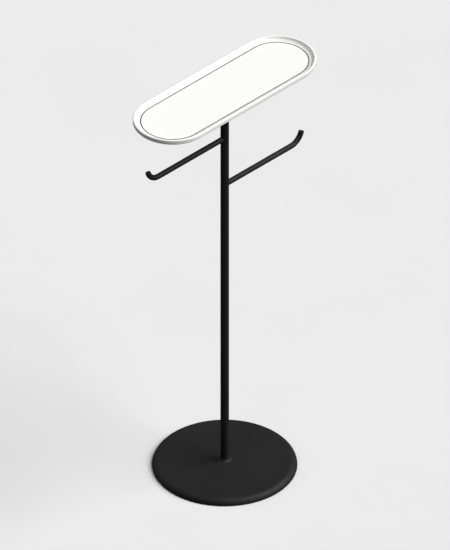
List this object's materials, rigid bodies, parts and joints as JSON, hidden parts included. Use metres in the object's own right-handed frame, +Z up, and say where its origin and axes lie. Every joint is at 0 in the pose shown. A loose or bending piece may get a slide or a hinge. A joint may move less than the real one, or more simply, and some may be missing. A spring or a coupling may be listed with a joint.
{
  "type": "valet stand",
  "caption": "Free-standing valet stand: round weighted base, slim upright tube, upturned hanging arms at different heights and a shallow round-ended tray on top.",
  "frame": {"origin": "centre of the round base where the stand rests on the floor, on the pole's axis", "axes": "+Z up the pole; X along the tray and both arms, with the upper arm pointing to -X and the lower arm to +X; Y across the tray"},
  "size_m": [0.5, 0.32, 1.015],
  "materials": {
    "black_coat": "satin black powder coat",
    "white_lacquer": "satin white lacquer over fibreboard",
    "white_liner": "fine-grained white leathercloth",
    "pad_rubber": "matte foam rubber",
    "zinc_plate": "bright zinc plate",
    "plain_steel": "plain turned steel"
  },
  "bodies": {
    "root": {"base": "black_coat", "base_pad": "pad_rubber", "base_washer": "zinc_plate", "base_spring_washer": "zinc_plate", "base_bolt": "zinc_plate", "pole_tube": "black_coat", "pole_foot_plug": "plain_steel", "pole_head_plug": "plain_steel", "upper_arm_slug": "plain_steel", "lower_arm_slug": "plain_steel", "upper_arm_tube": "black_coat", "upper_arm_root_plug": "plain_steel", "upper_arm_stud": "zinc_plate", "upper_arm_tip_cap": "black_coat", "lower_arm_tube": "black_coat", "lower_arm_root_plug": "plain_steel", "lower_arm_stud": "zinc_plate", "lower_arm_tip_cap": "black_coat", "tray_flange": "black_coat", "flange_bolt": "zinc_plate", "tray_pan": "white_lacquer", "tray_liner": "white_liner", "tray_screw_1": "zinc_plate", "tray_screw_2": "zinc_plate", "tray_screw_3": "zinc_plate", "tray_screw_4": "zinc_plate"}
  },
  "joints": []
}
